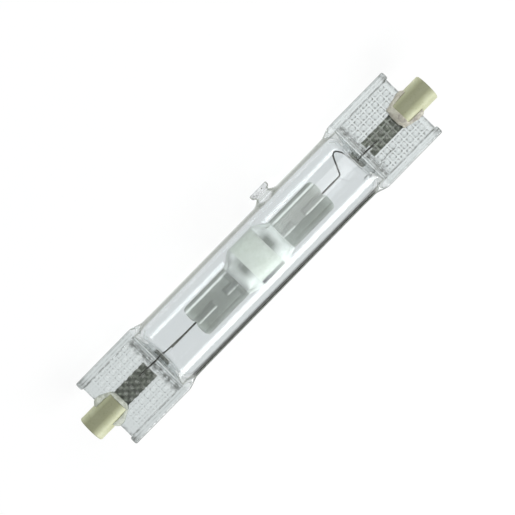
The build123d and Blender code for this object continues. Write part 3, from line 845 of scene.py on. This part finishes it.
def unionWith(tool):
    def addUnion(carrier):
        helper = bpy.data.objects.new("unionTool", tool)
        bpy.context.scene.collection.objects.link(helper)
        union = carrier.modifiers.new("union", "BOOLEAN")
        union.operation = "UNION"
        union.solver = "EXACT"
        union.object = helper
        return [helper]
    return addUnion


# Edges that carry painted shade lines: each one's distance from where it is counted, its width and its
# strength.
# At the ends the lines run from the first place to the second, with a strength
edgeLines = {
    "stub": ((2.95, 0.16, 0.7), (1.7, 0.12, 0.5)),
    "ribWidth": 0.13,
    "pocket": ((0.1, 0.16, 1.0), (0.95, 0.1, 0.4)),
    "outside": ((-0.5, 0.15, 0.6),),
    "plateEnd": (60.2, 60.7, 0.8),
    "railEnd": (58.8, 61.0, 0.7),
}


def lineSum(value, base, lines):
    return sum(strength * bump(value, base + distance, width) for distance, width, strength in lines)


def pressLine(x, y, z):
    # How strongly an edge that the jaws left carries a painted shade line at this place
    reach, aside, height = abs(x), abs(y), abs(z)
    if aside > bulb["halfWidth"] + 0.1:
        return lineSum(aside, bulb["radius"], edgeLines["stub"])
    if reach < pinchStart:
        return 0.0
    if aside < pocketHalf - 0.05:
        first, last, strength = edgeLines["plateEnd"]
        wide = bulb["ribWidth"]
        ribs = (pinchStart + wide, ribMiddle - wide / 2, ribMiddle + wide / 2)
        onRib = sum(bump(reach, place, edgeLines["ribWidth"]) for place in ribs)
        return onRib + strength * ease(reach, first, last)
    if height < bulb["plateHalf"]:
        return 0.0
    first, last, strength = edgeLines["railEnd"]
    lines = lineSum(aside, pocketHalf, edgeLines["pocket"])
    lines += lineSum(aside, bulb["halfWidth"], edgeLines["outside"])
    return lines + strength * ease(reach, first, last)


def padCell(x, y, strength):
    # Pads have whole numbers at their middles, along and across the pinch
    end = "left" if x < 0 else "right"
    along = (abs(x) - pads["centre"][end]) / pads["pitch"] + (pads["columns"][end] - 1) / 2
    inside = plateau(along - (pads["columns"][end] - 1) / 2, pads["columns"][end] / 2, 0.05)
    return along, y / pads["pitch"] + (pads["rows"] - 1) / 2, inside * strength[end]


def markGlass(mesh):
    lines = mesh.attributes.new("pressEdge", "FLOAT", "POINT")
    cells = mesh.attributes.new("padGrid", "FLOAT_VECTOR", "POINT")
    for vertex in mesh.vertices:
        x, y, z = lampCoordinates(vertex.co)
        lines.data[vertex.index].value = min(pressLine(x, y, z), 1.0)
        if abs(y) < pocketHalf + 0.02 and abs(x) > pinchStart:
            cells.data[vertex.index].vector = padCell(x, y, pads["outline"])


glassSkin = skinMesh(
    "glassSkin", bulb, {end: bulbStations(end) for end in ends}, bulbPlateYs(), bulbPlate, bulbEnd,
    lambda y: bulb["railEnd"], dent=stubFoot,
)
glassSkin = settled(glassSkin, unionWith(stubMesh()))
glassSkin = joined("bulbGlass", glassSkin, cavityMesh("bulbHollow", bulb))
markGlass(glassSkin)
bulbGlass = newPiece("bulbGlass", glassSkin, clearQuartz(), "clear_quartz", "outer_bulb", sharp=50)
print("outer bulb made:", len(bulbGlass.data.polygons), "faces")


# Arc tube: the same kind of form, smaller, with a boss along each blade's middle

arc = {
    "radius": 7.2,
    "shift": -0.6,
    "straightHalf": 4.2,
    "shoulder": 4.9,
    "flare": 4.9,
    "blend": 1.2,
    "halfWidth": 5.2,
    "railWidth": 1.2,
    "railHalf": 1.7,
    "railCorner": 0.8,
    "innerCorner": 0.4,
    "plateHalf": 1.15,
    "edge": 0.6,
    "railSteps": 40,
    "wall": 1.3,
    "shoulderWall": 1.5,
    "lip": 0.45,
    "narrowing": 2.4,
    "slope": 0.3,
    "reach": 25.8,
    "notchDepth": 0.6,
    "notchHalf": 0.8,
    "cornerDrop": 0.9,
    "bossHalf": 1.2,
    "bossHeight": 0.45,
    "innerBossEnd": 13.6,
    "outerBossStart": 17.8,
}


def arcPlate(x, y):
    reach = abs(x)
    start = arc["straightHalf"] + arc["shoulder"]
    middle, half = (start + arc["reach"]) / 2, (arc["reach"] - start) / 2 - arc["railWidth"]
    pocket = plateau(reach - middle, half, arc["slope"])
    pocket *= plateau(y, arc["halfWidth"] - arc["railWidth"] - arc["slope"], arc["slope"])
    height = arc["railHalf"] - (arc["railHalf"] - arc["plateHalf"]) * pocket
    innerBoss = plateau(reach - start, arc["innerBossEnd"] - start, arc["slope"])
    outerBoss = plateau(reach - arc["reach"], arc["reach"] - arc["outerBossStart"], arc["slope"])
    boss = max(innerBoss, outerBoss) * plateau(y, arc["bossHalf"] - arc["slope"], arc["slope"])
    return max(height, arc["plateHalf"] + arc["bossHeight"] * boss)


def arcEnd(y):
    notch = arc["notchDepth"] * math.exp(-(y / arc["notchHalf"]) ** 2)
    return arc["reach"] - notch - arc["cornerDrop"] * (abs(y) / arc["halfWidth"]) ** 5


def arcStations():
    start = arc["straightHalf"] + arc["shoulder"]
    spots = [arc["straightHalf"] * k / 6 for k in range(7)]
    spots += [arc["straightHalf"] + arc["shoulder"] * math.sin(math.pi / 2 * k / 20) for k in range(21)]
    last = arc["reach"] - arc["edge"] - arc["cornerDrop"] - arc["notchDepth"] + 0.4
    count = 60
    spots += [start + (last - start) * k / count for k in range(1, count + 1)]
    return sorted(set(round(s, 4) for s in spots))


arcYs = [-4.0 + 8.0 * k / 40 for k in range(41)]
arcSkin = skinMesh("arcSkin", arc, {end: arcStations() for end in ends}, arcYs, arcPlate, arcEnd, arcEnd)
arcSkin = joined("arcTubeQuartz", arcSkin, cavityMesh("arcHollow", arc, 96))
arcTube = newPiece("arcTubeQuartz", arcSkin, frostedQuartz(), "frosted_quartz", "arc_tube", sharp=60)
print("arc tube made:", len(arcTube.data.polygons), "faces")


# Coats on the arc tube's shoulders: a thin skin that follows the shoulder

# Outside and inside of the coat above the quartz in mm, and how much of the shoulder it covers
shoulderCoat = {"offsets": (0.13, 0.03), "cover": 0.985, "steps": 20}


def coatMesh(end):
    side, steps = ends[end], shoulderCoat["steps"]
    turns = [math.sin(math.pi / 2 * k / steps) for k in range(steps + 1)]
    reaches = [arc["straightHalf"] + arc["shoulder"] * turn * shoulderCoat["cover"] for turn in turns]
    shells = []
    for offset in shoulderCoat["offsets"]:
        shells.append([[(side * reach, y, z) for y, z in skinLoop(arc, side * reach, arcYs, arcPlate, offset)]
                       for reach in reaches])
    rows = shells[0] + list(reversed(shells[1]))
    size = len(rows[0])
    points = [lampPoint(*point) for row in rows for point in row]
    faces = []
    for row in range(len(rows)):
        for k in range(size):
            here, after = row * size, (row + 1) % len(rows) * size
            faces.append((here + k, here + (k + 1) % size, after + (k + 1) % size, after + k))
    return closedMesh("coat", points, faces)


coat = whiteCoat()
for end in ends:
    newPiece(f"endCoat_{end}", coatMesh(end), coat, "white_end_coat", f"end_coat_{end}", sharp=60)
print("coats made")


# Sealing foils in the outer pinches: embossed strips with wavy edges, and a notch at the left inner lead

foil = {
    "start": {"left": 43.2, "right": 43.8},
    "shift": {"left": 0.5, "right": 0.0},
    "length": 15.2,
    "half": 2.85,
    "thickness": 0.05,
    "step": 0.15,
    "emboss": 0.09,
    "edgeWave": 0.14,
    "notchLength": {"left": 1.2, "right": 0.0},
    "notchHalf": 0.65,
    "crease": {"left": 0.9, "right": 0.25},
}


def foilMesh(end):
    columns = round(foil["length"] / foil["step"])
    rows = round(2 * foil["half"] / foil["step"])
    start, shift = foil["start"][end], foil["shift"][end]
    points, faces = [], []
    for column in range(columns + 1):
        reach = start + foil["length"] * column / columns
        for row in range(rows + 1):
            share = 2 * row / rows - 1
            ragged = noise.noise(Vector((reach / 0.55, share * 0.2, ends[end] * 4.0)))
            y = share * (foil["half"] - foil["edgeWave"] * (1 + ragged))
            along, across, inside = padCell(ends[end] * reach, y + shift, {end: 1.0})
            raised = math.cos(2 * math.pi * along) * math.cos(2 * math.pi * across)
            height = foil["emboss"] * (raised + noise.noise(Vector((reach, y, 7.0))))
            points.append(lampPoint(ends[end] * reach, y + shift, height))
    for column in range(columns):
        for row in range(rows):
            middle = (2 * (row + 0.5) / rows - 1) * foil["half"]
            inNotch = column * foil["step"] < foil["notchLength"][end] and abs(middle) < foil["notchHalf"]
            if not inNotch:
                here = column * (rows + 1) + row
                faces.append((here, here + 1, here + rows + 2, here + rows + 1))
    mesh = bpy.data.meshes.new("foil")
    mesh.from_pydata(points, [], faces)
    work = bmesh.new()
    work.from_mesh(mesh)
    bmesh.ops.delete(work, geom=[v for v in work.verts if not v.link_faces], context="VERTS")
    bmesh.ops.solidify(work, geom=work.faces[:], thickness=foil["thickness"] * mm)
    bmesh.ops.recalc_face_normals(work, faces=work.faces)
    work.to_mesh(mesh)
    work.free()
    cells = mesh.attributes.new("padGrid", "FLOAT_VECTOR", "POINT")
    for vertex in mesh.vertices:
        x, y, z = lampCoordinates(vertex.co)
        cells.data[vertex.index].vector = padCell(x, y, foil["crease"])
    return mesh


foilMetal = etchedFoil()
for end in ends:
    newPiece(f"sealFoil_{end}", foilMesh(end), foilMetal, "molybdenum_foil", f"outer_foil_{end}")
print("sealing foils made")


# Cement at the caps: the CAD solid's room, filled with a smooth lumpy form

cement = {
    "voxel": 0.2,
    "smoothing": 14,
    "lump": 0.16,
    "lumpSize": 2.2,
}


def softened(carrier):
    fill = carrier.modifiers.new("fill", "REMESH")
    fill.mode = "VOXEL"
    fill.voxel_size = cement["voxel"] * mm
    smooth = carrier.modifiers.new("smooth", "SMOOTH")
    smooth.factor = 0.5
    smooth.iterations = cement["smoothing"]


def cementMesh(end):
    mesh = settled(mergedCopy(f"cap_cement_{end}"), softened)
    low, high = (Vector(corner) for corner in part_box(f"cap_cement_{end}"))
    pushes = [vertex.normal * noise.noise(vertex.co / (cement["lumpSize"] * mm)) for vertex in mesh.vertices]
    for vertex, push in zip(mesh.vertices, pushes):
        moved = vertex.co + push * (cement["lump"] * mm)
        vertex.co = [min(max(moved[k], low[k]), high[k]) for k in range(3)]
    return mesh


filler = silicaCement()
for end in ends:
    piece = newPiece(f"capCement_{end}", cementMesh(end), filler, "cap_cement", f"cap_cement_{end}", sharp=80)
    print(piece.name, "made:", len(piece.data.polygons), "faces")


# Wire wound on each electrode: Geometry Nodes lay one helix, which is then moved to its rod

coil = {
    "rodHeight": 0.35,
    "start": 4.8,
    "length": 2.0,
    "pitch": 0.4,
    "wireRadius": 0.18,
    "radius": 0.56,
    "steps": 24,
}


def coilTree(material):
    tree = bpy.data.node_groups.new("woundWire", "GeometryNodeTree")
    sockets = {}
    for name in ("Turns", "Radius", "Height", "Wire Radius"):
        socket = tree.interface.new_socket(name, in_out="INPUT", socket_type="NodeSocketFloat")
        sockets[name] = socket.identifier
    tree.interface.new_socket("Geometry", in_out="OUTPUT", socket_type="NodeSocketGeometry")
    sizes = addNode(tree, "NodeGroupInput").outputs
    helix = addNode(tree, "GeometryNodeCurveSpiral", {
        "Resolution": coil["steps"], "Rotations": sizes["Turns"], "Start Radius": sizes["Radius"],
        "End Radius": sizes["Radius"], "Height": sizes["Height"]})
    section = addNode(tree, "GeometryNodeCurvePrimitiveCircle", {
        "Resolution": 10, "Radius": sizes["Wire Radius"]})
    wire = addNode(tree, "GeometryNodeCurveToMesh", {
        "Curve": helix, "Profile Curve": section, "Fill Caps": True})
    real = addNode(tree, "GeometryNodeRealizeInstances", {"Geometry": wire})
    painted = addNode(tree, "GeometryNodeSetMaterial", {"Geometry": real, "Material": material})
    addNode(tree, "NodeGroupOutput", {"Geometry": painted})
    return tree, sockets


def coilMesh(end, tree, sockets):
    height = coil["length"] - 2 * coil["wireRadius"]
    sizes = {"Turns": height / coil["pitch"], "Radius": coil["radius"] * mm, "Height": height * mm,
             "Wire Radius": coil["wireRadius"] * mm}

    def addCoil(carrier):
        modifier = carrier.modifiers.new("coil", "NODES")
        modifier.node_group = tree
        for name, value in sizes.items():
            modifier[sockets[name]] = value

    mesh = settled(bpy.data.meshes.new(f"coil_{end}"), addCoil)
    start = coil["start"] if end == "right" else -coil["start"] - coil["length"]
    place = Matrix.Translation(lampPoint(start + coil["wireRadius"], 0, coil["rodHeight"]))
    mesh.transform(place @ Matrix.Rotation(math.pi / 2, 4, "Y"))
    return mesh


# Tungsten rod and wire, drawn and cleaned: a cold dark grey
tungsten = metal("drawnTungsten", "#6E7176", "#8E9196", 0.35, 0.8, (0.1, 1, 1))
windings, windingSockets = coilTree(tungsten)
for end in ends:
    newPiece(f"electrodeCoil_{end}", coilMesh(end, windings, windingSockets), tungsten, "tungsten",
             f"electrode_coil_{end}")
print("electrode coils made")


# Pieces whose solid is already right: a merged copy of each, shaded smooth

ceramic = steatite()
# Drawn molybdenum wire that has been through the flame: nearly black, with bright rubbed streaks along it
wireMetal = metal("flamedMolybdenumWire", "#1B1C17", "#4A4B43", 0.34, 1.1, (0.05, 1, 1))
# Nickel-plated contact, turned: bright with fine rings
nickel = metal("platedNickel", "#B9B6AA", "#D9D6CC", 0.22, 2.0)
# Mercury bead: a liquid metal, nearly a mirror
quicksilver = metal("liquidMercury", "#C4C6C8", "#DADCDE", 0.08, 16.0)
salt = halideSalt()

for end in ends:
    for node, name, material, slotName, sharp in (
        ("end_cap", "ceramicCap", ceramic, "steatite_cap", 38),
        ("contact", "contactButton", nickel, "nickel_contact", 38),
        ("outer_lead", "outerLead", wireMetal, "molybdenum_wire", 38),
        ("inner_lead", "innerLead", wireMetal, "molybdenum_wire", 60),
        ("arc_foil", "arcFoil", foilMetal, "molybdenum_foil", 38),
        ("arc_lead", "arcLead", wireMetal, "molybdenum_wire", 38),
        ("electrode_rod", "electrodeRod", tungsten, "tungsten", 38),
    ):
        mesh = mergedCopy(f"{node}_{end}")
        newPiece(f"{name}_{end}", mesh, material, slotName, f"{node}_{end}", sharp=sharp)
newPiece("mercuryBead", mergedCopy("mercury_bead"), quicksilver, "mercury", "mercury_bead", sharp=60)
newPiece("halideSalt", mergedCopy("halide_salt"), salt, "halide_salt", "halide_salt", sharp=60)
print("merged copies made")


# Floor, light and camera

studio = {
    "floorSize": 3.0,
    "floorWhite": 0.9,
    "lightDistance": 0.55,
    "lights": {
        "keyLight": {"camera": 0.12, "stub": -1.0, "lead": 0.0, "size": (0.5, 0.16), "power": 2.2},
        "topLight": {"camera": 1.0, "stub": 0.2, "lead": 0.5, "size": (0.5, 0.5), "power": 1.5},
    },
    "world": "#BCC0C0",
    "flag": {"x": (-42, 42), "y": (35, 135), "lift": 0.1, "colour": "#2E3128"},
    "pxPerMm": 3.55,
    "frame": 515,
    "lampCentrePx": (259.1, 258.1),
    "lampAngle": 45.57,
    "lens": 160.0,
    "sensor": 36.0,
    "clip": (0.01, 10.0),
}

stubWay = Vector((0, -math.cos(roll), -math.sin(roll)))
cameraWay = Vector((0, -math.sin(roll), math.cos(roll)))
leadWay = Vector((-1, 0, 0))


def whiteForViewer(tree):
    # 1 for rays that come straight from the viewer, or by way of metal or glass
    path = addNode(tree, "ShaderNodeLightPath")
    seen = path.outputs["Is Camera Ray"]
    for kind in ("Is Glossy Ray", "Is Transmission Ray"):
        seen = addNode(tree, "ShaderNodeMath", {0: seen, 1: path.outputs[kind]}, operation="MAXIMUM")
    return seen


def card(name, spanX, spanY, level):
    mesh = bpy.data.meshes.new(name)
    corners = [(spanX[0], spanY[0]), (spanX[1], spanY[0]), (spanX[1], spanY[1]), (spanX[0], spanY[1])]
    mesh.from_pydata([(x, y, level) for x, y in corners], [], [(0, 1, 2, 3)])
    sheet = bpy.data.objects.new(name, mesh)
    bpy.context.scene.collection.objects.link(sheet)
    return sheet


half = studio["floorSize"] / 2
floor = card("floor", (-half, half), (-half, half), cadBox[0][2])
material, tree = bareMaterial("paleCard")
part = product(tree, whiteForViewer(tree), studio["floorWhite"])
matt = addNode(tree, "ShaderNodeBsdfDiffuse", {"Color": colour("#F4F5F5")})
glow = addNode(tree, "ShaderNodeEmission", {"Color": (1, 1, 1, 1), "Strength": 1.0})
mix = addNode(tree, "ShaderNodeMixShader", {0: part, 1: matt, 2: glow})
addNode(tree, "ShaderNodeOutputMaterial", {"Surface": mix})
floor.data.materials.append(material)

# A dark card on the floor beside the lamp, which only the glass sees: it draws the tube's far edge dark
flag = studio["flag"]
flagX, flagY = ([value * mm for value in flag[axis]] for axis in "xy")
darkCard = card("darkCard", flagX, flagY, cadBox[0][2] + flag["lift"] * mm)
material, tree = bareMaterial("darkCard")
matt = addNode(tree, "ShaderNodeBsdfDiffuse", {"Color": colour(flag["colour"])})
addNode(tree, "ShaderNodeOutputMaterial", {"Surface": matt})
darkCard.data.materials.append(material)
darkCard.visible_camera = False
darkCard.visible_diffuse = False
darkCard.visible_shadow = False

world = bpy.data.worlds.new("studio")
world.use_nodes = True
bpy.context.scene.world = world
tree = world.node_tree
tree.nodes.clear()
soft = addNode(tree, "ShaderNodeBackground", {"Color": colour(studio["world"]), "Strength": 1.0})
white = addNode(tree, "ShaderNodeBackground", {"Color": (1, 1, 1, 1), "Strength": 1.0})
mix = addNode(tree, "ShaderNodeMixShader", {0: whiteForViewer(tree), 1: soft, 2: white})
addNode(tree, "ShaderNodeOutputWorld", {"Surface": mix})


def softLight(name, panel):
    # A panel that faces the lamp, with its first size along the lamp's axis
    back = (cameraWay * panel["camera"] + stubWay * panel["stub"] + leadWay * panel["lead"]).normalized()
    along = (leadWay - back * leadWay.dot(back)).normalized()
    data = bpy.data.lights.new(name, "AREA")
    data.shape = "RECTANGLE"
    data.size, data.size_y = panel["size"]
    data.energy = panel["power"]
    light = bpy.data.objects.new(name, data)
    turned = Matrix((along, back.cross(along), back)).transposed().to_4x4()
    light.matrix_world = Matrix.Translation(back * studio["lightDistance"]) @ turned
    bpy.context.scene.collection.objects.link(light)


for name, panel in studio["lights"].items():
    softLight(name, panel)

turn = math.radians(studio["lampAngle"])
right = leadWay * math.cos(turn) - stubWay * math.sin(turn)
upward = leadWay * math.sin(turn) + stubWay * math.cos(turn)
offX, offY = (pixel - studio["frame"] / 2 for pixel in studio["lampCentrePx"])
target = (upward * offY - right * offX) * (mm / studio["pxPerMm"])
distance = studio["frame"] / studio["pxPerMm"] * studio["lens"] / studio["sensor"] * mm
cameraData = bpy.data.cameras.new("camera")
cameraData.lens = studio["lens"]
cameraData.sensor_width = studio["sensor"]
cameraData.clip_start, cameraData.clip_end = studio["clip"]
camera = bpy.data.objects.new("camera", cameraData)
turned = Matrix((right, upward, cameraWay)).transposed().to_4x4()
camera.matrix_world = Matrix.Translation(target + cameraWay * distance) @ turned
bpy.context.scene.collection.objects.link(camera)
bpy.context.scene.camera = camera
bpy.context.scene.view_settings.view_transform = "Standard"
print("studio made")
